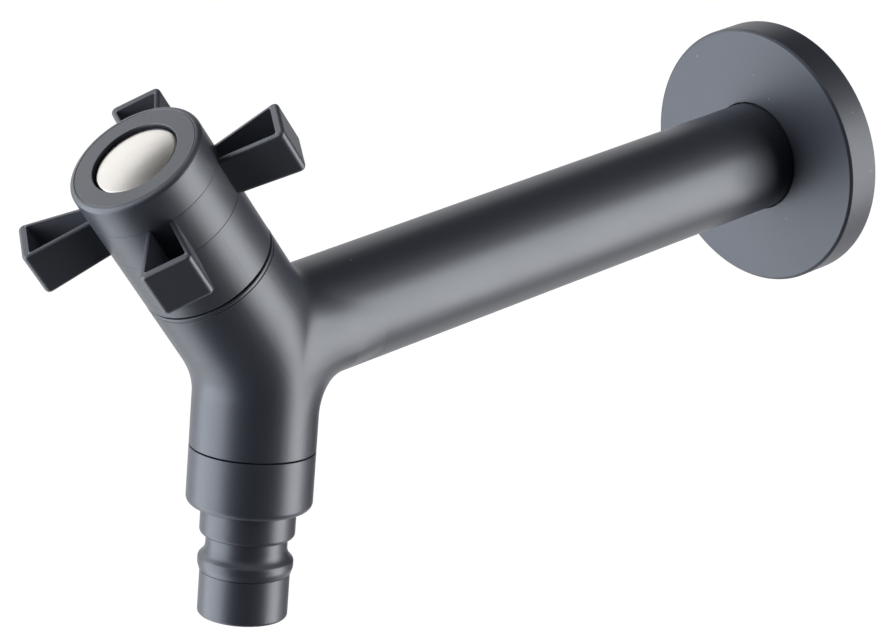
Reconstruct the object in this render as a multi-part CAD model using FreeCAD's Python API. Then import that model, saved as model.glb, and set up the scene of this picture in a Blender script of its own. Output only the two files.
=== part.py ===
import FreeCAD, Part

import math
import os

from FreeCAD import Placement, Rotation, Vector

# Wall-mounted garden tap, in millimetres.
# The origin is the centre of the wall flange's back face, on the tube's axis.
# +Y points into the wall, -Y along the tube into the room, and +Z is up.
# Three axes carry the pieces, and each height below is measured along its own axis:
# the tube's axis from the wall into the room, the handle's axis from beside the tube's axis up,
# and the outlet's axis from the tube's axis down.

# Tube, body and their angles
reach = 161.5
tube_radius = 12.7
handle_axis_forward = 1.2
handle_lean = 30.0
outlet_rake = 10.0
barrel_radius = 14.85
outlet_radius = 13.5
throat_radius = 15.5
heel_radius = 6.2
barrel_top = 22.0
barrel_edge = 0.7
outlet_end = 23.8
seam_edge = 0.25

# Clearances
screw_clearance = 0.05
running_clearance = 0.05
seal_clearance = 0.02
slip_clearance = 0.1

# Small roundings and overruns
seam_round = 0.12
edge_round = 0.3
seal_round = 0.4
cut_overrun = 1.0

# Waterway
tube_start = 3.0
tube_bore_radius = 9.5
tube_bore_end = 18.0
port_radius = 4.6
port_height = 5.3
chamber_radius = 11.2
chamber_floor = -5.0
chamber_top = 9.5
seat_radius = 8.6
seat_top = -3.0
seat_port_radius = 4.1
outlet_bore_radius = 8.0
outlet_bore_top = 14.0

# Half-inch pipe thread, on the inlet, the headwork and the nozzle
pipe_thread_radius = 10.4775
pipe_thread_pitch = 1.814
thread_depth = 1.16
thread_crest = 0.35

# Inlet nipple
nipple_thread_end = 15.0
nipple_thread_start = 1.0
nipple_spigot = 12.0
nipple_bore_radius = 7.0
nipple_throat_radius = 8.0

# Wall flange and its ring
flange_radius = 30.6
flange_depth = 8.55
flange_wall = 1.2
flange_edge = 0.6
flange_hole_clearance = 0.2
flange_ring_width = 2.9
flange_sleeve_end = 4.0
flange_ring_height = 2.6
flange_ring_round = 1.2

# Nozzle
nozzle_gasket_top = 15.5
nozzle_gasket_height = 1.5
nozzle_bore_radius = 6.5
nozzle_collar_end = 36.45
nozzle_collar_round = 1.6
nozzle_step_radius = 10.2
nozzle_step_end = 43.0
nozzle_step_round = 1.0
nozzle_neck_radius = 8.74
nozzle_neck_end = 46.5
nozzle_neck_round = 1.1
nozzle_bead_radius = 10.22
nozzle_bead_end = 51.0
nozzle_bead_edge = 1.45
nozzle_bead_round = 0.8
nozzle_barrel_radius = 9.65
nozzle_end = 60.8
nozzle_end_round = 0.8

# Headwork, the screwed cartridge that holds the valve
headwork_flange_height = 2.0
headwork_flange_radius = 12.4
headwork_hex = 22.0
headwork_hex_top = 28.0
headwork_collar_radius = 7.6
headwork_collar_top = 33.1
headwork_skirt_radius = 9.1
headwork_skirt_bottom = -2.4
headwork_disc_bore = 8.3
headwork_drum_bore = 7.2
headwork_disc_bore_top = 8.8
headwork_shoulder = 12.8
window_width = 9.0
window_bottom = 3.0
window_top = 8.6
o_ring_groove_radius = 12.0
o_ring_groove_depth = 1.2

# Ceramic discs and seat seal
disc_height = 3.0
fixed_disc_bottom = -0.2
disc_port_inner = 3.0
disc_port_outer = 6.6
disc_port_half_angle = 38.0
disc_key_depth = 0.8
disc_key_width = 3.0
seal_inner_radius = 6.8
support_inner_radius = 6.3
support_recess = 0.3
slot_depth = 1.3
slot_width = 4.0

# Spindle
stem_radius = 4.5
drum_bottom = 8.9
washer_height = 0.75
stem_groove_radius = 3.3
stem_groove_bottoms = (16.0, 20.5)
stem_groove_height = 2.0
clip_height = 0.8
clip_groove_radius = 3.6
clip_radius = 6.2
clip_gap = 0.1
clip_mouth = 5.2
spline_bottom = 35.0
spline_top = 45.0
spline_radius = 4.0
spline_depth = 0.35
spline_teeth = 20
screw_radius = 2.0
screw_bottom = 37.0

# Handle
hub_radius = 14.8
handle_bottom = 22.7
lower_seam = 37.5
upper_seam = 46.8
handle_top = 54.3
handle_top_round = 1.0
skirt_wall = 1.5
skirt_rim = 3.9
skirt_rim_wall = 2.35
spigot_length = 2.9
cap_rim_wall = 2.75
cap_spigot_length = 2.5
insert_bottom = 35.0
insert_top = 45.4
insert_hex = 13.0
web_top = 46.9
screw_hole_radius = 2.3
badge_floor = 51.8
badge_floor_wall = 1.6
badge_recess_radius = 9.5
access_radius = 5.2
badge_radius = 9.15
badge_rim = 1.7
badge_crown = 0.4
badge_spigot_length = 0.8
screw_head_radius = 4.3
screw_head_height = 2.3
screw_head_round = 1.2
screw_tip_round = 0.4
screw_slot_width = 0.9
screw_slot_length = 5.2
screw_slot_depth = 1.15
lock_washer_height = 0.9
lock_washer_radius = 4.0
lock_washer_gap = 0.6

# Arms of the cross handle
arm_count = 4
arm_angle = 52.45
arm_tip_radius = 29.6
arm_tip_width = 11.8
arm_root_width = 6.4
arm_bottom = 37.1
arm_tip_top = 47.9
arm_wall = 1.15
arm_tip_wall = 1.8
arm_floor = 1.2
arm_corner = 1.1
arm_top_round = 0.55
pocket_corner = 0.5

# The three axes as frames whose own Z is the axis
outlet_point = Vector(0, -reach, 0)
handle_point = outlet_point - Vector(0, handle_axis_forward, 0)
handle_frame = Placement(handle_point, Rotation(Vector(1, 0, 0), handle_lean))
outlet_frame = Placement(outlet_point, Rotation(Vector(1, 0, 0), 180 - outlet_rake))
tube_frame = Placement(Vector(0, 0, 0), Rotation(Vector(1, 0, 0), 90))

# The radii that follow from the walls around them
flange_sleeve_radius = tube_radius + flange_ring_width
spigot_radius = hub_radius - skirt_rim_wall
cap_spigot_radius = hub_radius - cap_rim_wall

# Where the handle's axis and the outlet's axis cross, measured along each
axis_angle = math.radians(handle_lean + outlet_rake)
crossing_up = -handle_axis_forward * math.cos(math.radians(outlet_rake)) / math.sin(axis_angle)
crossing_down = handle_axis_forward * math.cos(math.radians(handle_lean)) / math.sin(axis_angle)

full_turn = 360


def on_axis(frame, shape):
    """The shape, modelled along Z, set on one of the three axes."""
    shape.Placement = frame.multiply(shape.Placement)
    return shape


def rounded_wire(corners):
    """A closed wire through (across, along, rounding) corners in the XZ plane."""
    points = [Vector(corner[0], 0, corner[1]) for corner in corners]
    roundings = [corner[2] if len(corner) > 2 else 0 for corner in corners]
    count = len(points)
    starts, ends, edges = [], [], []
    for index in range(count):
        point = points[index]
        back = (points[index - 1] - point).normalize()
        ahead = (points[(index + 1) % count] - point).normalize()
        rounding = roundings[index]
        if rounding:
            half = back.getAngle(ahead) / 2
            leg = rounding / math.tan(half)
            inward = (back + ahead).normalize()
            middle = point + inward * (rounding / math.sin(half) - rounding)
            start = point + back * leg
            end = point + ahead * leg
            edges.append(Part.Arc(start, middle, end).toShape())
        else:
            start = end = point
        starts.append(start)
        ends.append(end)
    for index in range(count):
        line_end = starts[(index + 1) % count]
        if (line_end - ends[index]).Length > 1e-6:
            edges.append(Part.LineSegment(ends[index], line_end).toShape())
    return Part.Wire(Part.__sortEdges__(edges))


def turned(corners):
    """A solid of revolution about Z from (radius, height, rounding) corners."""
    return Part.Face(rounded_wire(corners)).revolve(Vector(0, 0, 0), Vector(0, 0, 1), full_turn)


def rod(radius, bottom, top):
    return Part.makeCylinder(radius, top - bottom, Vector(0, 0, bottom))


def ring(inner, outer, bottom, top, rounding=0):
    """A turned ring of rectangular section with rounded corners."""
    return turned([
        (inner, bottom, rounding),
        (outer, bottom, rounding),
        (outer, top, rounding),
        (inner, top, rounding),
    ])


def prism(points, bottom, top):
    """A straight prism on a polygon of (x, y) points."""
    loop = [Vector(x, y, bottom) for x, y in points]
    return Part.Face(Part.makePolygon(loop + loop[:1])).extrude(Vector(0, 0, top - bottom))


def hexagon(across_flats, bottom, top):
    corner = across_flats / math.sqrt(3)
    angles = [math.radians(60 * index) for index in range(6)]
    return prism([(corner * math.cos(a), corner * math.sin(a)) for a in angles], bottom, top)


def spline(radius, depth, bottom, top):
    """A toothed shaft whose teeth are plain triangles."""
    points = []
    for index in range(2 * spline_teeth):
        angle = math.pi * index / spline_teeth
        reach_out = radius if index % 2 == 0 else radius - depth
        points.append((reach_out * math.cos(angle), reach_out * math.sin(angle)))
    return prism(points, bottom, top)


def thread_side(radius, bottom, top):
    """Corners up the side of a threaded stretch, with one groove for each pitch."""
    grooves = int((top - bottom) / pipe_thread_pitch)
    crest = thread_crest * pipe_thread_pitch
    corners = [(radius - thread_depth, bottom)]
    for index in range(grooves):
        low = bottom + (index + 0.5) * (top - bottom) / grooves - crest / 2
        corners.append((radius, low))
        corners.append((radius, low + crest))
        if index < grooves - 1:
            middle = bottom + (index + 1) * (top - bottom) / grooves
            corners.append((radius - thread_depth, middle))
    corners.append((radius - thread_depth, top))
    return corners


def elbow(corner, first, second, path_radius, first_radius, second_radius):
    """A round bend between two axes that meet at a corner, one radius at each end."""
    half = first.getAngle(second) / 2
    leg = path_radius / math.tan(half)
    inward = (first + second).normalize()
    start = corner + first * leg
    end = corner + second * leg
    middle = corner + inward * (path_radius / math.sin(half) - path_radius)
    path = Part.Wire([Part.Arc(start, middle, end).toShape()])
    sections = [
        Part.Wire([Part.Circle(start, first, first_radius).toShape()]),
        Part.Wire([Part.Circle(end, second, second_radius).toShape()]),
    ]
    return path.makePipeShell(sections, True, False), leg


def body_outside():
    """Barrel, throat, outlet, tube and heel, as one blended casting."""
    up = handle_frame.Rotation.multVec(Vector(0, 0, 1))
    down = outlet_frame.Rotation.multVec(Vector(0, 0, 1))
    crossing = handle_point + up * crossing_up
    throat_path = throat_radius + (barrel_radius + outlet_radius) / 2
    throat, throat_leg = elbow(crossing, down, up, throat_path, outlet_radius, barrel_radius)
    heel_path = heel_radius + (outlet_radius + tube_radius) / 2
    heel, _ = elbow(outlet_point, down, Vector(0, 1, 0), heel_path, outlet_radius, tube_radius)
    barrel = turned([
        (0, crossing_up + throat_leg),
        (barrel_radius, crossing_up + throat_leg),
        (barrel_radius, barrel_top - barrel_edge),
        (barrel_radius - barrel_edge, barrel_top),
        (0, barrel_top),
    ])
    outlet = turned([
        (0, crossing_down + throat_leg),
        (outlet_radius, crossing_down + throat_leg),
        (outlet_radius, outlet_end - seam_edge),
        (outlet_radius - seam_edge, outlet_end),
        (0, outlet_end),
    ])
    tube = rod(tube_radius, tube_start, reach)
    outside = throat.fuse([on_axis(handle_frame, barrel), on_axis(outlet_frame, outlet)])
    outside = outside.removeSplitter().fuse(on_axis(tube_frame, tube)).removeSplitter()
    return outside.fuse(heel).removeSplitter()


def body_waterway():
    """The bores, the valve chamber round its seat, and the screwed mouths."""
    tube_bore = rod(tube_bore_radius, 0, reach - tube_bore_end)
    port_length = tube_bore_end + handle_axis_forward + port_height * math.tan(math.radians(handle_lean))
    port = Part.makeCylinder(
        port_radius,
        port_length + cut_overrun,
        outlet_point + Vector(0, tube_bore_end + cut_overrun, port_height),
        Vector(0, -1, 0),
    )
    chamber = rod(chamber_radius, chamber_floor, chamber_top)
    chamber = chamber.cut(rod(seat_radius, chamber_floor, seat_top))
    mouth_floor = barrel_top - headwork_flange_height
    headwork_bore = rod(pipe_thread_radius + screw_clearance, chamber_top, mouth_floor)
    ring_groove = rod(o_ring_groove_radius, mouth_floor - o_ring_groove_depth, mouth_floor)
    mouth = rod(headwork_flange_radius + slip_clearance, mouth_floor, barrel_top + cut_overrun)
    seat_port = rod(seat_port_radius, 0, outlet_bore_top)
    outlet_bore = rod(outlet_bore_radius, outlet_bore_top, nozzle_gasket_top)
    nozzle_bore = rod(pipe_thread_radius + screw_clearance, nozzle_gasket_top, outlet_end + cut_overrun)
    cuts = [on_axis(tube_frame, tube_bore), port]
    cuts += [on_axis(handle_frame, cut) for cut in (chamber, headwork_bore, ring_groove, mouth)]
    cuts += [on_axis(outlet_frame, cut) for cut in (seat_port, outlet_bore, nozzle_bore)]
    return cuts


def tap_body():
    return body_outside().cut(body_waterway()).removeSplitter()


def inlet_nipple():
    """Male inlet thread, a shoulder against the tube's end and a spigot inside the tube."""
    spigot_radius_fitted = tube_bore_radius - screw_clearance
    side = thread_side(pipe_thread_radius, -nipple_thread_end, nipple_thread_start)
    nipple = turned(
        [(nipple_bore_radius, -nipple_thread_end)]
        + side
        + [
            (tube_radius, nipple_thread_start),
            (tube_radius, tube_start),
            (spigot_radius_fitted, tube_start),
            (spigot_radius_fitted, tube_start + nipple_spigot),
            (nipple_throat_radius, tube_start + nipple_spigot),
            (nipple_throat_radius, nipple_thread_start),
            (nipple_bore_radius, nipple_thread_start),
        ]
    )
    return on_axis(tube_frame, nipple)


def wall_flange():
    """A hollow round cover with a sleeve behind its hole."""
    hole = tube_radius + flange_hole_clearance
    sleeve_outer = flange_sleeve_radius + flange_wall
    inside_front = flange_depth - flange_wall
    flange = turned([
        (flange_radius - flange_wall, 0),
        (flange_radius, 0),
        (flange_radius, flange_depth - flange_edge),
        (flange_radius - flange_edge, flange_depth),
        (hole, flange_depth),
        (hole, inside_front),
        (flange_sleeve_radius, inside_front),
        (flange_sleeve_radius, flange_sleeve_end),
        (sleeve_outer, flange_sleeve_end),
        (sleeve_outer, inside_front),
        (flange_radius - flange_wall, inside_front),
    ])
    return on_axis(tube_frame, flange)


def flange_ring():
    """The rubber ring that grips the tube inside the flange's sleeve."""
    top = flange_depth - flange_wall
    ring_shape = ring(
        tube_radius + seal_clearance,
        flange_sleeve_radius - seal_clearance,
        top - flange_ring_height,
        top,
        flange_ring_round,
    )
    return on_axis(tube_frame, ring_shape)


def outlet_nozzle():
    """Screwed collar, stepped neck, bead and hose barrel, bored through."""
    gasket_end = nozzle_gasket_top + nozzle_gasket_height
    side = thread_side(pipe_thread_radius, gasket_end, outlet_end)
    bead_top = nozzle_neck_end + nozzle_bead_radius - nozzle_neck_radius
    nozzle = turned(
        [(nozzle_bore_radius, gasket_end)]
        + side
        + [
            (outlet_radius - seam_edge, outlet_end),
            (outlet_radius, outlet_end + seam_edge),
            (outlet_radius, nozzle_collar_end, nozzle_collar_round),
            (nozzle_step_radius, nozzle_collar_end),
            (nozzle_step_radius, nozzle_step_end, nozzle_step_round),
            (nozzle_neck_radius, nozzle_step_end),
            (nozzle_neck_radius, nozzle_neck_end, nozzle_neck_round),
            (nozzle_bead_radius, bead_top, nozzle_bead_round),
            (nozzle_bead_radius, nozzle_bead_end - nozzle_bead_edge, nozzle_bead_round),
            (nozzle_barrel_radius, nozzle_bead_end),
            (nozzle_barrel_radius, nozzle_end, nozzle_end_round),
            (nozzle_bore_radius, nozzle_end),
        ]
    )
    return on_axis(outlet_frame, nozzle)


def nozzle_gasket():
    gasket = ring(
        outlet_bore_radius + slip_clearance,
        pipe_thread_radius - slip_clearance,
        nozzle_gasket_top,
        nozzle_gasket_top + nozzle_gasket_height,
    )
    return on_axis(outlet_frame, gasket)


def disc_keys(width, depth, bottom):
    """The two blocks, left and right, that stop the lower disc from turning."""
    block = Part.makeBox(
        4 * headwork_disc_bore,
        width,
        disc_height,
        Vector(-2 * headwork_disc_bore, -width / 2, bottom),
    )
    return block.cut(rod(headwork_disc_bore - depth, bottom, bottom + disc_height))


def headwork_body():
    """Brass cartridge: skirt with two windows, thread, flange, hexagon and collar."""
    mouth_floor = barrel_top - headwork_flange_height
    side = thread_side(pipe_thread_radius, chamber_top, mouth_floor)
    shell = turned(
        [
            (headwork_disc_bore, headwork_skirt_bottom),
            (headwork_skirt_radius, headwork_skirt_bottom),
        ]
        + [(headwork_skirt_radius, chamber_top)]
        + side[1:-1]
        + [
            (pipe_thread_radius - thread_depth, mouth_floor),
            (headwork_flange_radius, mouth_floor),
            (headwork_flange_radius, barrel_top),
            (headwork_collar_radius, barrel_top),
            (headwork_collar_radius, headwork_collar_top),
            (stem_radius + running_clearance, headwork_collar_top),
            (stem_radius + running_clearance, headwork_shoulder),
            (headwork_drum_bore, headwork_shoulder),
            (headwork_drum_bore, headwork_disc_bore_top),
            (headwork_disc_bore, headwork_disc_bore_top),
        ]
    )
    nut = hexagon(headwork_hex, barrel_top, headwork_hex_top)
    nut = nut.cut(rod(headwork_collar_radius - cut_overrun, barrel_top, headwork_hex_top))
    window = Part.makeBox(
        window_width,
        4 * headwork_skirt_radius,
        window_top - window_bottom,
        Vector(-window_width / 2, -2 * headwork_skirt_radius, window_bottom),
    )
    body = shell.fuse(nut).removeSplitter().cut(window)
    keys = disc_keys(disc_key_width, disc_key_depth, fixed_disc_bottom)
    inside_skirt = (headwork_disc_bore + headwork_skirt_radius) / 2
    keys = keys.common(rod(inside_skirt, fixed_disc_bottom, chamber_top))
    return on_axis(handle_frame, body.fuse(keys).removeSplitter())


def headwork_ring():
    """The ring that seals the headwork's flange in the barrel's mouth."""
    mouth_floor = barrel_top - headwork_flange_height
    ring_shape = ring(
        pipe_thread_radius + screw_clearance,
        o_ring_groove_radius - seal_clearance,
        mouth_floor - o_ring_groove_depth,
        mouth_floor,
        seal_round,
    )
    return on_axis(handle_frame, ring_shape)


def disc_port(centre_angle, bottom, top):
    """One water port of a ceramic disc, a rounded quarter of a ring."""
    corners = []
    for radius in (disc_port_outer, disc_port_inner):
        for turn in (-disc_port_half_angle, 0, disc_port_half_angle):
            angle = math.radians(centre_angle + turn)
            corners.append(Vector(radius * math.cos(angle), radius * math.sin(angle), bottom))
    outer_low, outer_middle, outer_high, inner_low, inner_middle, inner_high = corners
    edges = [
        Part.Arc(outer_low, outer_middle, outer_high).toShape(),
        Part.LineSegment(outer_high, inner_high).toShape(),
        Part.Arc(inner_high, inner_middle, inner_low).toShape(),
        Part.LineSegment(inner_low, outer_low).toShape(),
    ]
    return Part.Face(Part.Wire(edges)).extrude(Vector(0, 0, top - bottom))


def ported_disc(first_port_angle, bottom):
    top = bottom + disc_height
    disc = rod(headwork_disc_bore - slip_clearance, bottom, top)
    for port_angle in (first_port_angle, first_port_angle + full_turn / 2):
        disc = disc.cut(disc_port(port_angle, bottom, top))
    return disc


def fixed_disc():
    """The lower ceramic disc, keyed in the headwork, with its ports left and right."""
    disc = ported_disc(0, fixed_disc_bottom)
    notches = disc_keys(
        disc_key_width + 2 * slip_clearance,
        disc_key_depth + slip_clearance,
        fixed_disc_bottom,
    )
    return on_axis(handle_frame, disc.cut(notches))


def moving_disc():
    """The upper ceramic disc: shut when its ports lie a quarter turn from the lower ones."""
    bottom = fixed_disc_bottom + disc_height
    disc = ported_disc(90, bottom)
    slot = Part.makeBox(
        4 * headwork_disc_bore,
        slot_width,
        slot_depth,
        Vector(-2 * headwork_disc_bore, -slot_width / 2, bottom + disc_height - slot_depth),
    )
    return on_axis(handle_frame, disc.cut(slot))


def seat_seal():
    """The rubber ring that the headwork presses on the seat."""
    seal = ring(
        seal_inner_radius,
        headwork_disc_bore - slip_clearance,
        seat_top,
        fixed_disc_bottom,
        seal_round,
    )
    return on_axis(handle_frame, seal)


def seal_support():
    """The plastic ring that keeps the seat seal round."""
    support = ring(support_inner_radius, seal_inner_radius, seat_top + support_recess, fixed_disc_bottom)
    return on_axis(handle_frame, support)


def spindle():
    """Spline, stem with two grooves and a clip groove, drum and driving tongue."""
    drum_top = headwork_shoulder - washer_height - seal_clearance
    clip_bottom = headwork_collar_top + clip_gap
    stem = rod(stem_radius, drum_top, spline_bottom)
    past_stem = stem_radius + cut_overrun
    for groove_bottom in stem_groove_bottoms:
        groove_top = groove_bottom + stem_groove_height
        stem = stem.cut(ring(stem_groove_radius, past_stem, groove_bottom, groove_top))
    stem = stem.cut(ring(clip_groove_radius, past_stem, clip_bottom, clip_bottom + clip_height))
    drum = rod(headwork_drum_bore - running_clearance, drum_bottom, drum_top)
    tongue_bottom = fixed_disc_bottom + 2 * disc_height - slot_depth + slip_clearance
    tongue_half = headwork_drum_bore - running_clearance
    tongue = Part.makeBox(
        4 * tongue_half,
        slot_width - slip_clearance,
        drum_bottom - tongue_bottom,
        Vector(-2 * tongue_half, -(slot_width - slip_clearance) / 2, tongue_bottom),
    )
    tongue = tongue.common(rod(tongue_half, tongue_bottom, drum_bottom))
    teeth = spline(spline_radius, spline_depth, spline_bottom, spline_top)
    screw_hole = rod(screw_radius + screw_clearance, screw_bottom - cut_overrun, spline_top)
    solid = stem.fuse([drum, tongue, teeth]).removeSplitter().cut(screw_hole)
    return on_axis(handle_frame, solid)


def spindle_rings():
    """The two O-rings in the stem's grooves, as a group."""
    rings = []
    for groove_bottom in stem_groove_bottoms:
        rings.append(ring(
            stem_groove_radius,
            stem_radius + running_clearance - seal_clearance,
            groove_bottom + slip_clearance,
            groove_bottom + stem_groove_height - slip_clearance,
            seal_round,
        ))
    return on_axis(handle_frame, Part.makeCompound(rings))


def spindle_clip():
    """An open spring clip that keeps the spindle in the headwork."""
    bottom = headwork_collar_top + clip_gap
    clip = ring(clip_groove_radius, clip_radius, bottom, bottom + clip_height)
    mouth = Part.makeBox(2 * clip_radius, clip_mouth, clip_height, Vector(0, -clip_mouth / 2, bottom))
    return on_axis(handle_frame, clip.cut(mouth))


def friction_washer():
    """The low-friction ring between the drum and the headwork's shoulder."""
    washer = ring(
        stem_radius + running_clearance,
        headwork_drum_bore - slip_clearance,
        headwork_shoulder - washer_height - seal_clearance,
        headwork_shoulder - seal_clearance,
    )
    return on_axis(handle_frame, washer)


def handle_skirt():
    """The lower sleeve of the handle, which hides the hexagon."""
    skirt = turned([
        (hub_radius - skirt_wall, handle_bottom, edge_round),
        (hub_radius, handle_bottom, edge_round),
        (hub_radius, lower_seam, seam_round),
        (spigot_radius + seal_clearance, lower_seam),
        (spigot_radius + seal_clearance, lower_seam - skirt_rim),
        (hub_radius - skirt_wall, lower_seam - skirt_rim),
    ])
    return on_axis(handle_frame, skirt)


def arm_plan(half_root, half_tip, tip_radius, height, corner=0):
    """The wedge outline of one arm along +X, from inside the hub to the tip."""
    root_radius = math.sqrt(hub_radius ** 2 - (arm_root_width / 2) ** 2)
    start = hub_radius - 2 * arm_wall
    slope = (half_tip - half_root) / (arm_tip_radius - root_radius)
    half_start = half_root - slope * (root_radius - start)
    half_end = half_root + slope * (tip_radius - root_radius)
    wire = rounded_wire([
        (start, -half_start),
        (tip_radius, -half_end, corner),
        (tip_radius, half_end, corner),
        (start, half_start),
    ])
    wire.rotate(Vector(0, 0, 0), Vector(1, 0, 0), -90)
    wire.translate(Vector(0, 0, height))
    return Part.Face(wire)


def round_arm(arm):
    """Rounds the two upright edges of the tip, then the rim and the lower edge outside the hub."""
    upright = []
    for edge in arm.Edges:
        box = edge.BoundBox
        if box.XMin > arm_tip_radius - arm_corner and box.YLength < arm_corner:
            upright.append(edge)
    arm = arm.makeFillet(arm_corner, upright)
    level = []
    for edge in arm.Edges:
        box = edge.BoundBox
        at_root = box.XMax < hub_radius
        if not at_root and box.ZLength < arm_tip_top - upper_seam + arm_corner:
            level.append(edge)
    return arm.makeFillet(arm_top_round, level)


def cross_arm():
    """One hollow wedge arm, open at the top, with its top rising to the tip."""
    half_root = arm_root_width / 2
    half_tip = arm_tip_width / 2
    full_height = arm_tip_top - arm_bottom
    arm = arm_plan(half_root, half_tip, arm_tip_radius, arm_bottom)
    arm = arm.extrude(Vector(0, 0, full_height))
    pocket_floor = arm_bottom + arm_floor
    pocket = arm_plan(
        half_root - arm_wall,
        half_tip - arm_wall,
        arm_tip_radius - arm_tip_wall,
        pocket_floor,
        pocket_corner,
    )
    pocket = pocket.extrude(Vector(0, 0, full_height))
    pocket = pocket.cut(rod(hub_radius, pocket_floor, pocket_floor + full_height))
    rise = (arm_tip_top - upper_seam) / (arm_tip_radius - hub_radius)
    top_slope = Part.Face(Part.makePolygon([
        Vector(0, -arm_tip_radius, upper_seam - rise * hub_radius),
        Vector(2 * arm_tip_radius, -arm_tip_radius, arm_tip_top + rise * arm_tip_radius),
        Vector(2 * arm_tip_radius, -arm_tip_radius, 2 * arm_tip_top),
        Vector(0, -arm_tip_radius, 2 * arm_tip_top),
        Vector(0, -arm_tip_radius, upper_seam - rise * hub_radius),
    ]))
    above = top_slope.extrude(Vector(0, 2 * arm_tip_radius, 0))
    below = rod(hub_radius + slip_clearance, arm_bottom - cut_overrun, lower_seam)
    return round_arm(arm.cut(above)).cut([pocket, below])


def handle_cross():
    """The middle of the handle: hub, two spigots, insert socket, web and four arms."""
    hub = turned([
        (0, lower_seam - spigot_length),
        (spigot_radius, lower_seam - spigot_length, edge_round),
        (spigot_radius, lower_seam),
        (hub_radius, lower_seam, seam_round),
        (hub_radius, upper_seam, seam_round),
        (cap_spigot_radius, upper_seam),
        (cap_spigot_radius, upper_seam + cap_spigot_length, edge_round),
        (cap_spigot_radius - skirt_wall, upper_seam + cap_spigot_length),
        (cap_spigot_radius - skirt_wall, web_top),
        (0, web_top),
    ])
    arms = []
    for index in range(arm_count):
        arm = cross_arm()
        arm.rotate(Vector(0, 0, 0), Vector(0, 0, 1), arm_angle + index * full_turn / arm_count)
        arms.append(arm)
    socket_bottom = lower_seam - spigot_length - cut_overrun
    socket = hexagon(insert_hex + 2 * seal_clearance, socket_bottom, insert_top)
    screw_hole = rod(screw_hole_radius, insert_top, web_top)
    cross = hub.fuse(arms).removeSplitter().cut([socket, screw_hole])
    return on_axis(handle_frame, cross)


def handle_cap():
    """The top of the handle: rounded edge, badge recess and screwdriver hole."""
    inside = cap_spigot_radius + seal_clearance
    cap = turned([
        (inside, upper_seam),
        (hub_radius, upper_seam, seam_round),
        (hub_radius, handle_top, handle_top_round),
        (badge_recess_radius, handle_top, edge_round),
        (badge_recess_radius, badge_floor),
        (access_radius, badge_floor),
        (access_radius, badge_floor - badge_floor_wall),
        (inside, badge_floor - badge_floor_wall),
    ])
    return on_axis(handle_frame, cap)


def index_badge():
    """A domed steel disc with a spigot that clips into the cap."""
    rim_top = badge_floor + badge_rim
    dome_radius = (badge_radius ** 2 + badge_crown ** 2) / (2 * badge_crown)
    dome_centre = rim_top + badge_crown - dome_radius
    half_dome = math.asin(badge_radius / dome_radius) / 2
    crown = Vector(0, 0, rim_top + badge_crown)
    halfway = Vector(
        dome_radius * math.sin(half_dome),
        0,
        dome_centre + dome_radius * math.cos(half_dome),
    )
    corners = [
        crown,
        Vector(0, 0, badge_floor - badge_spigot_length),
        Vector(access_radius - slip_clearance, 0, badge_floor - badge_spigot_length),
        Vector(access_radius - slip_clearance, 0, badge_floor),
        Vector(badge_radius, 0, badge_floor),
        Vector(badge_radius, 0, rim_top),
    ]
    edges = [Part.LineSegment(a, b).toShape() for a, b in zip(corners[:-1], corners[1:])]
    edges.append(Part.Arc(corners[-1], halfway, crown).toShape())
    badge = Part.Face(Part.Wire(edges)).revolve(Vector(0, 0, 0), Vector(0, 0, 1), full_turn)
    return on_axis(handle_frame, badge)


def spline_insert():
    """The hexagonal brass insert whose inner teeth grip the spindle."""
    insert = hexagon(insert_hex, insert_bottom, insert_top)
    teeth = spline(spline_radius + screw_clearance, spline_depth, insert_bottom, insert_top)
    return on_axis(handle_frame, insert.cut(teeth))


def lock_washer():
    """A split spring washer under the screw's head."""
    washer = ring(screw_radius + slip_clearance, lock_washer_radius, web_top, web_top + lock_washer_height)
    split = Part.makeBox(
        2 * lock_washer_radius,
        lock_washer_gap,
        lock_washer_height,
        Vector(0, -lock_washer_gap / 2, web_top),
    )
    return on_axis(handle_frame, washer.cut(split))


def handle_screw():
    """The cross-slotted screw that holds the handle on the spindle."""
    head_bottom = web_top + lock_washer_height
    head_top = head_bottom + screw_head_height
    screw = turned([
        (0, screw_bottom),
        (screw_radius, screw_bottom, screw_tip_round),
        (screw_radius, head_bottom),
        (screw_head_radius, head_bottom),
        (screw_head_radius, head_top, screw_head_round),
        (0, head_top),
    ])
    slot_sizes = ((screw_slot_length, screw_slot_width), (screw_slot_width, screw_slot_length))
    for length, width in slot_sizes:
        slot = Part.makeBox(
            length,
            width,
            screw_slot_depth,
            Vector(-length / 2, -width / 2, head_top - screw_slot_depth),
        )
        screw = screw.cut(slot)
    return on_axis(handle_frame, screw)


pieces = {
    "tap_body": tap_body,
    "inlet_nipple": inlet_nipple,
    "wall_flange": wall_flange,
    "flange_ring": flange_ring,
    "outlet_nozzle": outlet_nozzle,
    "nozzle_gasket": nozzle_gasket,
    "headwork_body": headwork_body,
    "headwork_ring": headwork_ring,
    "seat_seal": seat_seal,
    "seal_support": seal_support,
    "fixed_disc": fixed_disc,
    "moving_disc": moving_disc,
    "spindle": spindle,
    "spindle_rings": spindle_rings,
    "spindle_clip": spindle_clip,
    "friction_washer": friction_washer,
    "handle_skirt": handle_skirt,
    "handle_cross": handle_cross,
    "handle_cap": handle_cap,
    "index_badge": index_badge,
    "spline_insert": spline_insert,
    "lock_washer": lock_washer,
    "handle_screw": handle_screw,
}

os.makedirs("parts", exist_ok=True)
for name, make in pieces.items():
    shape = make()
    shape.exportStep(f"parts/{name}.step")
    print(f"{name}: {len(shape.Solids)} solid, {shape.Volume:.1f} mm3, valid {shape.isValid()}")
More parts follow.
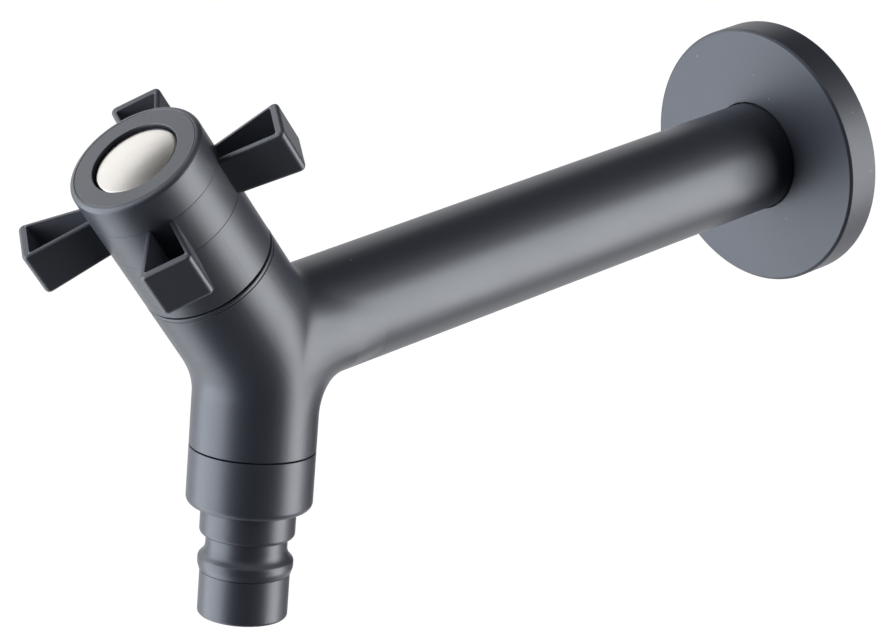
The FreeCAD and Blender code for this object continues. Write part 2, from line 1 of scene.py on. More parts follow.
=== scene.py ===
# %% [markdown]
# A garden tap with a cross handle
#
# This lesson dresses a measured model of a wall-mounted garden tap. The tap is a cast body
# with a long round tube, a barrel that leans forward under the handle, and an outlet with a
# screwed hose nozzle. All that shows has a matte charcoal coat, but for the bright disc on
# the handle. The model comes in as a fixed frame of named nodes. Most of them already have
# the right shape and only need a finish. A few are made again here, because the real ones
# have detail that is too fine for the model: a screw thread that climbs, hollow arms with
# softened edges, a cap with a fine line round its face, and a soft hollow in the casting.

# %% Load the measured model
import math

import bmesh
import bpy
from mathutils import Matrix, Vector


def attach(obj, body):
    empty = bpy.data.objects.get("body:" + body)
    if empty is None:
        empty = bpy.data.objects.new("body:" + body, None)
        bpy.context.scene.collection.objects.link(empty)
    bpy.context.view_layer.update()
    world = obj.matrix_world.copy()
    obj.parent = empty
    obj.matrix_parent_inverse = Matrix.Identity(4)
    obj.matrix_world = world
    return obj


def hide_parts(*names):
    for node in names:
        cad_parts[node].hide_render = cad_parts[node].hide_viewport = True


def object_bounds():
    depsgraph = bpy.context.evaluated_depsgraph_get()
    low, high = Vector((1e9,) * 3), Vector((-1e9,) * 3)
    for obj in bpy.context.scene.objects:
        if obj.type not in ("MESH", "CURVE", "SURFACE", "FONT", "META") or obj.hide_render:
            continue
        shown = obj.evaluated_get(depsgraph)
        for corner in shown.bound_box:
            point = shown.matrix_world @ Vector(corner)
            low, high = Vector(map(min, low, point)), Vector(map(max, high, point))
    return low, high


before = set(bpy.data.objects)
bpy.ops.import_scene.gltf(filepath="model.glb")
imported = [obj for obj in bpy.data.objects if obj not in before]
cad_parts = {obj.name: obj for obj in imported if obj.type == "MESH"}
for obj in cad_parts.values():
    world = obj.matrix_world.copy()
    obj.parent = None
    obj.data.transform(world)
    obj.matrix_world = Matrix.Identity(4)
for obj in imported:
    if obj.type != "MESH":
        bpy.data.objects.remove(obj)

cad_low, cad_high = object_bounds()
scene = bpy.context.scene
mm = 0.001
print("nodes:", len(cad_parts))
print("model box, mm:", [round(value / mm, 2) for value in (*cad_low, *cad_high)])


# %% Write two steps that every new thing needs
def mesh_from(shape, name):
    """Writes a shape to a new mesh and frees the shape."""
    mesh = bpy.data.meshes.new(name)
    shape.to_mesh(mesh)
    shape.free()
    return mesh


def show(name, data):
    """Puts a new object with that data in the scene."""
    thing = bpy.data.objects.new(name, data)
    scene.collection.objects.link(thing)
    return thing


# %% [markdown]
# The picture was taken from the front left of the tap and a little above it, with a long
# lens and the camera slightly tilted. An ordinary camera can be turned towards its target
# by a constraint, but its three axes are written out here, because the small roll is then
# one more angle and nothing is left live in the file.

# %% Set up the camera
picture_width = 893
sensor_width = 36.0
focal_pixels = 3496.965
camera_azimuth = math.radians(48.042)
camera_height = math.radians(20.741)
camera_roll = math.radians(-3.218)
camera_distance = 768.371 * mm
camera_target = Vector((0, -108.73, -11.678)) * mm

level_right = Vector((math.cos(camera_azimuth), math.sin(camera_azimuth), 0))
level_front = Vector((math.sin(camera_azimuth), -math.cos(camera_azimuth), 0))
straight_up = Vector((0, 0, 1))
towards_camera = level_front * math.cos(camera_height) + straight_up * math.sin(camera_height)
level_top = towards_camera.cross(level_right)
camera_right = level_right * math.cos(camera_roll) + level_top * math.sin(camera_roll)
camera_up = level_top * math.cos(camera_roll) - level_right * math.sin(camera_roll)

camera_data = bpy.data.cameras.new("camera")
camera_data.sensor_width = sensor_width
camera_data.lens = focal_pixels * sensor_width / picture_width
camera = show("camera", camera_data)
turned = Matrix((camera_right, camera_up, towards_camera)).transposed().to_4x4()
camera_place = Matrix.Translation(camera_target + towards_camera * camera_distance)
camera.matrix_world = camera_place @ turned
scene.camera = camera
print("lens, mm:", round(camera_data.lens, 2))

# %% [markdown]
# Shader sums
#
# A finish is a small calculation: some noise, stretched and scaled, changes the colour a
# little and the roughness a little. Math nodes wired one by one are hard to read, so a
# small class wraps a socket and lets such a calculation be written as a plain sum.

# %% Wrap a socket so that sums build nodes
class Amount:
    """What the socket of a node gives, such as a number that varies over a surface."""

    def __init__(self, nodes, socket):
        self.nodes = nodes
        self.socket = socket

    def work(self, operation, *values):
        return self.nodes.add("ShaderNodeMath", "Value", {"operation": operation}, values)

    def __add__(self, other):
        return self.work("ADD", self, other)

    def __radd__(self, other):
        return self.work("ADD", other, self)

    def __sub__(self, other):
        return self.work("SUBTRACT", self, other)

    def __rsub__(self, other):
        return self.work("SUBTRACT", other, self)

    def __mul__(self, other):
        return self.work("MULTIPLY", self, other)

    def __rmul__(self, other):
        return self.work("MULTIPLY", other, self)

    def __lt__(self, other):
        return self.work("LESS_THAN", self, other)

    def __gt__(self, other):
        return self.work("GREATER_THAN", self, other)


# %% Wrap a node tree so that one method adds any node
def socket_named(sockets, name):
    return next(socket for socket in sockets if socket.name == name and socket.enabled)


class Nodes:
    """The nodes of a material or of the world."""

    def __init__(self, owner):
        owner.use_nodes = True
        self.tree = owner.node_tree

    def fill(self, socket, value):
        if isinstance(value, Amount):
            self.tree.links.new(value.socket, socket)
        else:
            socket.default_value = value

    def add(self, kind, output, settings=None, order=(), **inputs):
        """Adds a node, sets it, fills inputs in order or by name, and returns an output."""
        node = self.tree.nodes.new(kind)
        for key, value in (settings or {}).items():
            setattr(node, key, value)
        for socket, value in zip(node.inputs, order):
            self.fill(socket, value)
        for key, value in inputs.items():
            self.fill(socket_named(node.inputs, key), value)
        return Amount(self, socket_named(node.outputs, output))

    def seen(self):
        """1 for a ray that is seen: straight from the camera, mirrored or through glass."""
        path = "ShaderNodeLightPath"
        straight = self.add(path, "Is Camera Ray")
        mirrored = self.add(path, "Is Glossy Ray")
        through = self.add(path, "Is Transmission Ray")
        return straight + mirrored + through


class Finish(Nodes):
    """One material with a Principled surface."""

    def __init__(self, name):
        self.material = bpy.data.materials.new(name)
        super().__init__(self.material)
        self.surface = self.tree.nodes["Principled BSDF"]

    def place(self):
        """The point of the surface, in metres, in the object's own frame."""
        return self.add("ShaderNodeTexCoord", "Object")

    def stretched(self, vector, scale, rotation):
        return self.add(
            "ShaderNodeMapping", "Vector",
            Vector=vector, Scale=scale, Rotation=rotation,
        )

    def noise(self, vector, scale, detail=3.0, roughness=0.5):
        return self.add(
            "ShaderNodeTexNoise", "Fac",
            Vector=vector, Scale=scale, Detail=detail, Roughness=roughness,
        )

    def cells(self, output, vector, scale):
        """Scattered cells: how far the nearest centre is, or its random colour."""
        return self.add(
            "ShaderNodeTexVoronoi", output, {"feature": "F1"},
            Vector=vector, Scale=scale, Randomness=1.0,
        )

    def blend(self, factor, first, second):
        return self.add(
            "ShaderNodeMix", "Result", {"data_type": "RGBA"},
            Factor=factor, A=first, B=second,
        )

    def relief(self, height, depth):
        """Turns a height from 0 to 1 into a tilt of the surface, for a depth in metres."""
        return self.add("ShaderNodeBump", "Normal", Height=height, Distance=depth, Strength=1.0)

    def paint(self, **inputs):
        for key, value in inputs.items():
            self.fill(socket_named(self.surface.inputs, key.replace("_", " ")), value)
        return self.material


# %% [markdown]
# The studio
#
# Matte black paint has almost no colour of its own. What the eye reads is the shape of the
# lamps in it: two tall soft boxes, one at each side of the tap, draw the long pale bands
# down the barrel and the tube, and the space in front stays dark between them. A low, dim
# box under the left one lets its lower edge fade, and a weaker box behind and above lights
# the faces that lean back. The boxes are placed by two angles as seen from the camera, so
# that the bands fall where they should.

# %% Hang four soft boxes
def stand(azimuth, height, distance):
    """Where something stands that faces the tap, from two angles in degrees."""
    azimuth = math.radians(azimuth)
    height = math.radians(height)
    level = level_front * math.cos(azimuth) + level_right * math.sin(azimuth)
    direction = level * math.cos(height) + straight_up * math.sin(height)
    facing = direction.to_track_quat("Z", "Y").to_matrix().to_4x4()
    return Matrix.Translation(camera_target + direction * distance) @ facing


def soft_box(name, azimuth, height, distance, size, radiance, tint):
    """A rectangular lamp that faces the tap, with its brightness given as radiance."""
    width, tall = size
    lamp = bpy.data.lights.new(name, "AREA")
    lamp.shape = "RECTANGLE"
    lamp.size = width
    lamp.size_y = tall
    lamp.energy = radiance * math.pi * width * tall
    lamp.color = tint
    holder = show(name, lamp)
    holder.matrix_world = stand(azimuth, height, distance)
    holder.visible_camera = False
    print(name, "fills", round(width * tall / distance ** 2, 2), "steradians")


cool_white = (0.90, 0.95, 1.0)
plain_white = (1.0, 0.99, 0.98)
soft_box("box_right", 80, -8, 1.0, size=(0.62, 1.15), radiance=7.6, tint=plain_white)
soft_box("box_left", -80, 2, 1.0, size=(1.1, 1.85), radiance=4.7, tint=cool_white)
soft_box("box_low", -78, -54, 1.0, size=(1.0, 0.45), radiance=1.9, tint=cool_white)
soft_box("box_behind", -123, 32, 1.2, size=(1.2, 0.72), radiance=1.6, tint=plain_white)

# %% [markdown]
# Dark cards
#
# A photographer keeps the dark side of a black object dark with flags, which are black cards
# that stand where the object would otherwise mirror the bright room. One card stands behind
# the camera and one leans low in front. Behind the tap two are on the right, one level with
# it and one above, and the fifth hangs high on the left, where the bright disc mirrors its
# lower edge. They add no light, and the camera looks through them, so they never stand in
# another view.

# %% Stand five dark cards
card_black = Finish("card_black").paint(Base_Color=(0.01, 0.01, 0.01, 1), Roughness=0.95)


def dark_card(name, azimuth, height, distance, size):
    """A black card that faces the tap."""
    width, tall = size
    shape = bmesh.new()
    bmesh.ops.create_grid(shape, x_segments=1, y_segments=1, size=0.5)
    bmesh.ops.scale(shape, verts=shape.verts, vec=(width, tall, 1))
    bmesh.ops.transform(shape, verts=shape.verts, matrix=stand(azimuth, height, distance))
    mesh = mesh_from(shape, name)
    mesh.materials.append(card_black)
    card = show(name, mesh)
    card.visible_camera = False
    print(name, "is", width, "by", tall, "metres")


dark_card("card_front", 12, 5, 1.25, size=(3.0, 2.4))
dark_card("card_above", 138, 50, 1.1, size=(1.1, 1.0))
dark_card("card_below", 10, -56, 0.85, size=(1.5, 1.2))
dark_card("card_back", 135, 5, 1.25, size=(1.2, 2.0))
dark_card("card_behind", -146, 60, 1.0, size=(0.75, 0.46))

# %% [markdown]
# The room is white to the eye and to anything that mirrors it, but its own light is kept
# low, so that a colour renders about as it is written. The floor lies well below the tap,
# as the ground does under a tap on a wall, and keeps the shadow that falls on it.

# %% Make the room and the floor
room_light = 0.36
floor_size = 12.0
floor_drop = 0.9
floor_grey = (0.86, 0.86, 0.86, 1)
floor_glow = 0.85
floor_white = 1.14

world = bpy.data.worlds.new("room")
scene.world = world
room = Nodes(world)
background = room.tree.nodes["Background"]
room.fill(background.inputs["Color"], (1, 1, 1, 1))
room.fill(background.inputs["Strength"], 1 - (1 - room.seen()) * (1 - room_light))

shape = bmesh.new()
bmesh.ops.create_grid(shape, x_segments=1, y_segments=1, size=floor_size / 2)
bmesh.ops.translate(shape, verts=shape.verts, vec=(0, 0, cad_low.z - floor_drop))
floor_mesh = mesh_from(shape, "floor")
floor = show("floor", floor_mesh)

floor_finish = Finish("floor_card")
floor_mesh.materials.append(floor_finish.paint(Base_Color=floor_grey, Roughness=0.9))
lit = Amount(floor_finish, floor_finish.surface.outputs[0])
glow = floor_finish.add("ShaderNodeEmission", "Emission", Strength=floor_white)
either = floor_finish.add(
    "ShaderNodeMixShader", "Shader", order=(floor_finish.seen() * floor_glow, lit, glow)
)
floor_finish.fill(floor_finish.tree.nodes["Material Output"].inputs["Surface"], either)

scene.view_settings.view_transform = "Standard"
print("floor at", round((cad_low.z - floor_drop) / mm), "mm")

# %% [markdown]
# The charcoal coat
#
# The coat is baked powder paint: nearly black, slightly blue, with a soft satin face. Close
# up it has the fine orange peel of powder that melted and set, its sheen drifts a little
# from place to place, and here and there a grain of dust has settled on it. Noise at four
# sizes gives the first two, and scattered cells give the dust.

# %% Mix the charcoal coat
drift_scale = 45.0
smear_scale = 240.0
peel_scale = 1500.0
grain_scale = 5200.0
dust_scale = 230.0
dust_radius = 0.032
dust_cover = 0.8
dust_roughness = 0.3
dust_grey = (0.32, 0.33, 0.34, 1)
dark_shares = (0.86, 0.87, 0.88)
pale_shares = (1.16, 1.15, 1.13)
drift_sheen = 0.05
smear_sheen = 0.03
grain_sheen = 0.02
sheen_tint = (0.88, 0.928, 1.0, 1)


def tinted(colour, shares):
    """A colour times the share of each channel, at most 1, as a socket takes it."""
    return tuple(min(1.0, channel * share) for channel, share in zip(colour, shares)) + (1,)


def charcoal_coat(name, tone, roughness, depth, dust, gloss=0.6):
    """Satin powder coat with drift in its sheen, orange peel and a few dust grains."""
    coat = Finish(name)
    where = coat.place()
    drift = coat.noise(where, drift_scale, detail=2.0)
    smear = coat.noise(where, smear_scale)
    peel = coat.noise(where, peel_scale, detail=4.0, roughness=0.6)
    grain = coat.noise(where, grain_scale, detail=2.0)
    nearness = coat.cells("Distance", where, dust_scale)
    lot = coat.cells("Color", where, dust_scale)
    chance = coat.add("ShaderNodeSeparateColor", "Red", Color=lot)
    speck = (nearness < dust_radius) * (chance < dust)
    dark = tinted(tone, dark_shares)
    pale = tinted(tone, pale_shares)
    clean = coat.blend(drift * 0.6 + grain * 0.4, dark, pale)
    calm = roughness - (drift_sheen + smear_sheen + grain_sheen) / 2
    sheen = calm + drift * drift_sheen + smear * smear_sheen + grain * grain_sheen
    return coat.paint(
        Base_Color=coat.blend(speck * dust_cover, clean, dust_grey),
        Roughness=sheen + speck * dust_roughness,
        Normal=coat.relief(peel * 0.7 + grain * 0.3, depth),
        Specular_IOR_Level=gloss,
        Specular_Tint=sheen_tint,
    )


charcoal = (0.0232, 0.0252, 0.034)
handle_charcoal = (0.0275, 0.0295, 0.038)
# Painted light: the pockets' tone is about four times paler than the handle's, for the light that
# bounces inside them.
pocket_lit_charcoal = (0.118, 0.122, 0.146)
body_peel = 0.017 * mm
handle_peel = body_peel * 1.5
charcoal_body = charcoal_coat("charcoal_body", charcoal, 0.40, body_peel, dust=0.10)
charcoal_cover = charcoal_coat("charcoal_cover", charcoal, 0.43, body_peel, dust=0.34, gloss=0.48)
charcoal_nozzle = charcoal_coat("charcoal_nozzle", charcoal, 0.39, body_peel, dust=0.06)
charcoal_handle = charcoal_coat("charcoal_handle", handle_charcoal, 0.40, handle_peel, dust=0.08)
charcoal_pocket_painted_light = charcoal_coat("charcoal_pocket_painted_light", pocket_lit_charcoal, 0.36, handle_peel, dust=0.04)
print("peel of the body, mm:", body_peel / mm)

# %% [markdown]
# Bare metal
#
# The thread at the back, the valve and the bright disc are bare metal. Turned metal keeps
# the fine rings of the lathe tool round its axis, and brushed metal keeps straight
# scratches. Both are one noise, squeezed hard in the direction in which it must be fine.

# %% Make turned and brushed metal
stain_scale = 420.0
cloud_scale = 90.0
dull_share = 0.84
clean_share = 1.06
mark_roughness = 0.12
cloud_roughness = 0.05


def bare_metal(name, colour, roughness, squeeze, depth, lean=(0, 0, 0)):
    """Metal whose tool marks follow one direction."""
    metal = Finish(name)
    where = metal.place()
    marks = metal.noise(metal.stretched(where, squeeze, lean), 1.0, detail=4.0, roughness=0.65)
    cloud = metal.noise(where, cloud_scale, detail=2.0)
    stain = metal.noise(where, stain_scale)
    dull = tinted(colour, (dull_share,) * 3)
    clean = tinted(colour, (clean_share,) * 3)
    calm = roughness - mark_roughness / 2
    return metal.paint(
        Base_Color=metal.blend(marks * 0.5 + stain * 0.3 + cloud * 0.2, dull, clean),
        Metallic=1.0,
        Roughness=calm + marks * mark_roughness + cloud * cloud_roughness,
        Normal=metal.relief(marks, depth),
    )


handle_tilt = 30
handle_lean = (math.radians(-handle_tilt), 0, 0)
fine = 9000
coarse = 160
along_tube = (coarse, fine, coarse)
along_handle = (coarse, coarse, fine)
across_disc = (fine, coarse, coarse)
turned_stainless = bare_metal(
    "turned_stainless", (0.56, 0.56, 0.55), 0.30, along_tube, 0.006 * mm
)
brushed_disc = bare_metal(
    "brushed_disc", (0.38, 0.370, 0.354), 0.20, across_disc, 0.0009 * mm, handle_lean
)
bright_spring = bare_metal(
    "bright_spring", (0.50, 0.50, 0.50), 0.28, along_handle, 0.003 * mm, handle_lean
)
lathe_brass = bare_metal(
    "lathe_brass", (0.72, 0.53, 0.25), 0.28, along_handle, 0.004 * mm, handle_lean
)

# %% [markdown]
# The hidden soft and hard parts
#
# The two valve discs are polished ceramic, the seal's support and the friction washer are
# white nylon, and the seals are black rubber. They can be seen when the tap is taken apart,
# so each has its own finish.

# %% Make ceramic, nylon and rubber
haze_scale = 120.0
haze_roughness = 0.04
fleck_roughness = 0.05


def moulded(name, colour, roughness, fleck_size, fleck, depth):
    """A moulded or pressed material with fine flecks and a faint relief."""
    stuff = Finish(name)
    where = stuff.place()
    flecks = stuff.noise(where, 1 / fleck_size)
    haze = stuff.noise(where, haze_scale, detail=2.0)
    low = tinted(colour, (1 - fleck,) * 3)
    high = tinted(colour, (1 + fleck,) * 3)
    calm = roughness - haze_roughness
    return stuff.paint(
        Base_Color=stuff.blend(flecks * 0.6 + haze * 0.4, low, high),
        Roughness=calm + flecks * fleck_roughness + haze * haze_roughness,
        Normal=stuff.relief(flecks, depth),
    )


polished_ceramic = moulded("polished_ceramic", (0.80, 0.79, 0.76), 0.16, 0.4 * mm, 0.03, 0.001 * mm)
moulded_nylon = moulded("moulded_nylon", (0.74, 0.73, 0.70), 0.42, 0.6 * mm, 0.04, 0.006 * mm)
seal_rubber = moulded("seal_rubber", (0.022, 0.022, 0.023), 0.62, 0.35 * mm, 0.18, 0.012 * mm)
print("materials:", len(bpy.data.materials))

# %% [markdown]
# Four turned parts
#
# The wall cover, the handle's cap, its disc and its hub are all round about one axis, so
# each is a profile of a few corners spun once round. The corners are softened after the
# spin, when each is a ring of edges that one bevel can round. Sizes are written in
# millimetres along the part's own axis, and the finished shape is then set in its place.

# %% Set the three axes of the tap
reach = 161.5
outlet_tilt = 10
handle_forward = 1.2
tube_axis = Matrix.Rotation(math.radians(90), 4, "X")
outlet_rotation = Matrix.Rotation(math.radians(180 - outlet_tilt), 4, "X")
outlet_axis = Matrix.Translation((0, -reach, 0)) @ outlet_rotation
handle_point = (0, -reach - handle_forward, 0)
handle_rotation = Matrix.Rotation(math.radians(handle_tilt), 4, "X")
handle_axis = Matrix.Translation(handle_point) @ handle_rotation

# %% Spin a profile and round its rings
merge_distance = 0.0005
ring_near = 0.002
crease = math.radians(32)


def spin_profile(shape, corners, steps=192):
    """Spins a closed profile of (radius, height) corners round the Z axis."""
    points = [shape.verts.new((radius, 0, height)) for radius, height in corners]
    sides = [shape.edges.new(pair) for pair in zip(points, points[1:] + points[:1])]
    bmesh.ops.spin(
        shape, geom=points + sides, cent=(0, 0, 0), axis=(0, 0, 1),
        angle=2 * math.pi, steps=steps, use_merge=True,
    )
    bmesh.ops.remove_doubles(shape, verts=shape.verts, dist=merge_distance)
    loose = [edge for edge in shape.edges if not edge.link_faces]
    bmesh.ops.delete(shape, geom=loose, context="EDGES")
    bmesh.ops.recalc_face_normals(shape, faces=shape.faces)


def soften(shape, edges, size, segments):
    bmesh.ops.bevel(
        shape, geom=edges, offset=size, offset_type="OFFSET", segments=segments,
        profile=0.5, affect="EDGES", material=-1, clamp_overlap=True,
    )


def soften_rings(shape, rings):
    """Rounds rings of edges, each given as its (radius, height, size, segments)."""
    for radius, height, size, segments in rings:
        chosen = [
            edge for edge in shape.edges
            if all(
                abs(corner.co.xy.length - radius) < ring_near
                and abs(corner.co.z - height) < ring_near
                for corner in edge.verts
            )
        ]
        soften(shape, chosen, size, segments)


def cut_flat(shape, point, direction, clear=True, snap=0.0):
    """Cuts a shape along a plane, and clears what lies beyond it."""
    bmesh.ops.bisect_plane(
        shape, geom=shape.verts[:] + shape.edges[:] + shape.faces[:], dist=snap,
        plane_co=point, plane_no=direction, clear_outer=clear,
    )


def join_shape(shape, other):
    """Adds another shape to the first as a closed shell of its own."""
    mesh = mesh_from(other, "joined")
    shape.from_mesh(mesh)
    bpy.data.meshes.remove(mesh)


def make_piece(shape, name, axis, finish, body, replaced):
    """Sets a shape in its place on the tap and gives it its finish."""
    for face in shape.faces:
        face.smooth = True
    bmesh.ops.transform(shape, verts=shape.verts, matrix=Matrix.Scale(mm, 4) @ axis)
    mesh = mesh_from(shape, name)
    mesh.set_sharp_from_angle(angle=crease)
    mesh.materials.append(finish)
    piece = show(name, mesh)
    even = piece.modifiers.new("even_normals", "WEIGHTED_NORMAL")
    even.keep_sharp = True
    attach(piece, body)
    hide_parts(replaced)
    print(name, "has", len(mesh.polygons), "faces")
    return piece


# %% [markdown]
# The cover against the wall is a pressed dish with a sleeve behind its hole. In the picture
# its edge is a thin bright line and a thin dark one, which is a narrow chamfer between two
# softened corners.

# %% Spin the wall cover
cover_radius = 30.6
cover_depth = 8.55
cover_wall = 1.2
cover_chamfer = 0.6
cover_hole = 12.9
sleeve_inside = 15.6
sleeve_back = 4.0
cover_inside = cover_depth - cover_wall
chamfer_round = 0.14
hole_round = 0.18
back_round = 0.2

shape = bmesh.new()
spin_profile(shape, [
    (cover_radius - cover_wall, 0),
    (cover_radius, 0),
    (cover_radius, cover_depth - cover_chamfer),
    (cover_radius - cover_chamfer, cover_depth),
    (cover_hole, cover_depth),
    (cover_hole, cover_inside),
    (sleeve_inside, cover_inside),
    (sleeve_inside, sleeve_back),
    (sleeve_inside + cover_wall, sleeve_back),
    (sleeve_inside + cover_wall, cover_inside),
    (cover_radius - cover_wall, cover_inside),
])
soften_rings(shape, [
    (cover_radius, cover_depth - cover_chamfer, chamfer_round, 3),
    (cover_radius - cover_chamfer, cover_depth, chamfer_round, 3),
    (cover_hole, cover_depth, hole_round, 3),
    (cover_radius, 0, back_round, 3),
])
make_piece(shape, "wall_cover", tube_axis, charcoal_cover, "tap", "wall_flange")

# %% [markdown]
# The cap closes the handle. Its outer edge is well rounded, and just inside that edge a
# shallow line runs round the flat face. The recess in the middle holds the bright disc.

# %% Spin the handle's cap
hub_radius = 14.8
upper_seam = 46.8
cap_top = 54.3
cap_inside = 12.07
recess_radius = 9.5
recess_floor = 51.8
driver_hole = 5.2
driver_back = recess_floor - 1.6
line_radius = 13.55
line_depth = 0.1
cap_round = 1.0
seam_round = 0.12
recess_round = 0.16

shape = bmesh.new()
spin_profile(shape, [
    (cap_inside, upper_seam),
    (hub_radius, upper_seam),
    (hub_radius, cap_top),
    (line_radius + line_depth, cap_top),
    (line_radius, cap_top - line_depth),
    (line_radius - line_depth, cap_top),
    (recess_radius, cap_top),
    (recess_radius, recess_floor),
    (driver_hole, recess_floor),
    (driver_hole, driver_back),
    (cap_inside, driver_back),
])
soften_rings(shape, [
    (hub_radius, cap_top, cap_round, 8),
    (hub_radius, upper_seam, seam_round, 2),
    (recess_radius, cap_top, recess_round, 3),
])
make_piece(shape, "round_cap", handle_axis, charcoal_handle, "handle", "handle_cap")

# %% [markdown]
# The disc in the cap is satin stainless steel with a slight dome. The dome is an arc of a
# large circle, so a few heights on that circle are enough for the profile. Its face is
# left plain.

# %% Spin the bright disc
disc_radius = 9.15
disc_rim = 53.5
disc_rise = 0.5
disc_round = 0.3
pin_radius = driver_hole - 0.1
pin_end = recess_floor - 0.8
dome_radius = (disc_radius ** 2 + disc_rise ** 2) / (2 * disc_rise)
dome_centre = disc_rim + disc_rise - dome_radius
dome = [
    (radius, dome_centre + math.sqrt(dome_radius ** 2 - radius ** 2))
    for radius in (disc_radius, 8.4, 7.2, 5.6, 3.8, 1.9, 0.0)
]

shape = bmesh.new()
spin_profile(shape, [
    (0, pin_end),
    (pin_radius, pin_end),
    (pin_radius, recess_floor),
    (disc_radius, recess_floor),
] + dome, steps=144)
soften_rings(shape, [(disc_radius, disc_rim, disc_round, 4)])
make_piece(shape, "steel_disc", handle_axis, brushed_disc, "handle", "index_badge")

# %% [markdown]
# The cross
#
# The middle of the handle carries four hollow arms. Each arm is an open trough that widens
# towards its tip. A cube is enough to start from: its corners are moved to the wedge, the
# top is inset to leave the walls, and the inset face is pushed down to make the pocket. The
# pockets get a much paler copy of the handle's coat, which is painted light: it stands in
# for the light that bounces round inside them. The bevels come last, wide on the outside
# edges that a hand touches, and hardly any inside.

# %% Shape one arm
arm_start = 12.5
arm_tip = 29.6
tip_half = 5.9
root_half = 2.85
arm_bottom = 37.1
arm_floor = 38.3
arm_wall = 1.15
tip_wall = 1.8
arm_middle = (arm_start + arm_tip) / 2
tip_height = 47.9
arm_rise = (tip_height - upper_seam) / (arm_tip - hub_radius)
lit_pocket_slot = 1
near = 0.02


def rim_height(across):
    return upper_seam + arm_rise * (across - hub_radius)


shape = bmesh.new()
block = bmesh.ops.create_cube(shape, size=1.0)["verts"]
for corner in block:
    at_tip = corner.co.x > 0
    across = arm_tip if at_tip else arm_start
    half = tip_half if at_tip else root_half
    side = 1 if corner.co.y > 0 else -1
    height = rim_height(across) if corner.co.z > 0 else arm_bottom
    corner.co = (across, side * half, height)
shape.normal_update()

top = max(shape.faces, key=lambda face: face.calc_center_median().z)
bmesh.ops.inset_region(shape, faces=[top], thickness=arm_wall, use_even_offset=True)
for corner in top.verts:
    if corner.co.x > arm_middle:
        corner.co.x = arm_tip - tip_wall
        corner.co.z = rim_height(corner.co.x)
pushed = bmesh.ops.extrude_discrete_faces(shape, faces=[top])["faces"][0]
for corner in pushed.verts:
    corner.co.z = arm_floor
# The pocket's faces take the paler copy of the coat, which is painted light.
pushed.material_index = lit_pocket_slot
for edge in pushed.edges:
    for face in edge.link_faces:
        face.material_index = lit_pocket_slot
print("arm corners:", len(shape.verts))


# %% [markdown]
# An edge is picked by the two faces that it joins: one looks up or down, the other looks
# out from the arm or into its pocket. The middle of the wedge tells out from in. Where two
# bevels meet in a corner they leave points that coincide, and these are merged at the end.

# %% Soften the arm's edges
level_share = 0.9
upright_share = 0.3
tip_round = 1.6
pocket_round = 0.45
rim_round = 0.8
under_round = 1.05
pocket_rim_round = 0.13


def looks_out(face):
    away = face.calc_center_median() - Vector((arm_middle, 0, 0))
    return away.x * face.normal.x + away.y * face.normal.y > 0


def edges_between(shape, level_sign, outward):
    """Edges that join a level face to an upright one that looks out, or in."""
    chosen = []
    for edge in shape.edges:
        if len(edge.link_faces) != 2:
            continue
        level = [face for face in edge.link_faces if face.normal.z * level_sign > level_share]
        upright = [face for face in edge.link_faces if abs(face.normal.z) < upright_share]
        at_root = all(corner.co.x < arm_start + 2 * arm_wall for corner in edge.verts)
        if level and upright and not at_root and looks_out(upright[0]) == outward:
            chosen.append(edge)
    return chosen


def upright_edges(shape, across):
    """Upright edges whose two ends are that far out from the handle's axis."""
    return [
        edge for edge in shape.edges
        if all(abs(corner.co.x - across) < near for corner in edge.verts)
        and abs(edge.verts[0].co.z - edge.verts[1].co.z) > arm_floor - arm_bottom
    ]


shape.normal_update()
soften(shape, upright_edges(shape, arm_tip), tip_round, 8)
soften(shape, upright_edges(shape, arm_tip - tip_wall), pocket_round, 3)
for level_sign, outward, size, segments in (
    (1, True, rim_round, 6),
    (-1, True, under_round, 7),
    (1, False, pocket_rim_round, 2),
):
    shape.normal_update()
    soften(shape, edges_between(shape, level_sign, outward), size, segments)
bmesh.ops.remove_doubles(shape, verts=shape.verts, dist=near / 4)
bmesh.ops.dissolve_degenerate(shape, edges=shape.edges, dist=near / 4)
bmesh.ops.recalc_face_normals(shape, faces=shape.faces)
print("softened arm corners:", len(shape.verts))

# %% [markdown]
# The arm's root goes into the hub. Under the hub's seam it would cut into the sleeve below,
# so the arm is split there and the part inside is lifted clear. Three more arms are
# copies, spun round the axis, and the hub is one more spun profile.

# %% Clear the sleeve, copy the arm and add the hub
arm_count = 4
first_arm = math.radians(52.45)
step_place = 14.6
step_height = 37.55
for place in (step_place, step_place + near):
    cut_flat(shape, (place, 0, 0), (1, 0, 0), clear=False)
for corner in shape.verts:
    if corner.co.x < step_place + near / 2 and corner.co.z < step_height:
        corner.co.z = step_height
bmesh.ops.rotate(
    shape, verts=shape.verts, cent=(0, 0, 0), matrix=Matrix.Rotation(first_arm, 3, "Z")
)
whole = shape.verts[:] + shape.edges[:] + shape.faces[:]
bmesh.ops.spin(
    shape, geom=whole, cent=(0, 0, 0), axis=(0, 0, 1),
    angle=2 * math.pi * (arm_count - 1) / arm_count, steps=arm_count - 1, use_duplicate=True,
)
bmesh.ops.recalc_face_normals(shape, faces=shape.faces)

